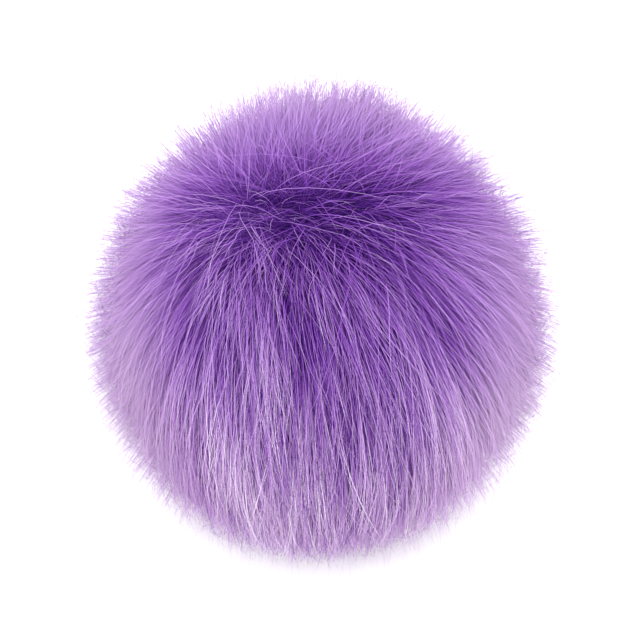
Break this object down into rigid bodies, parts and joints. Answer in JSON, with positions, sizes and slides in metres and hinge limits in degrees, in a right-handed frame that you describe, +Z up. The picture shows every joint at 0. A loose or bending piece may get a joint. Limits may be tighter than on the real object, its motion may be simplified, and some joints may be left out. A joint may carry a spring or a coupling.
{
  "type": "pom pom",
  "caption": "Round pom pom of long purple faux fur, combed down from its crown, with a small flat spot to rest on.",
  "frame": {"origin": "on the surface that the pom pom rests on, under the middle of the ball", "axes": "+Z up through the crown, -Y towards the side over which the hair is combed down, X across"},
  "size_m": [0.12, 0.1204, 0.1139],
  "materials": {
    "fur": "long soft pile, purple at the roots and pale lavender at the tips"
  },
  "bodies": {
    "root": {"pom_pom": "fur"}
  },
  "joints": []
}
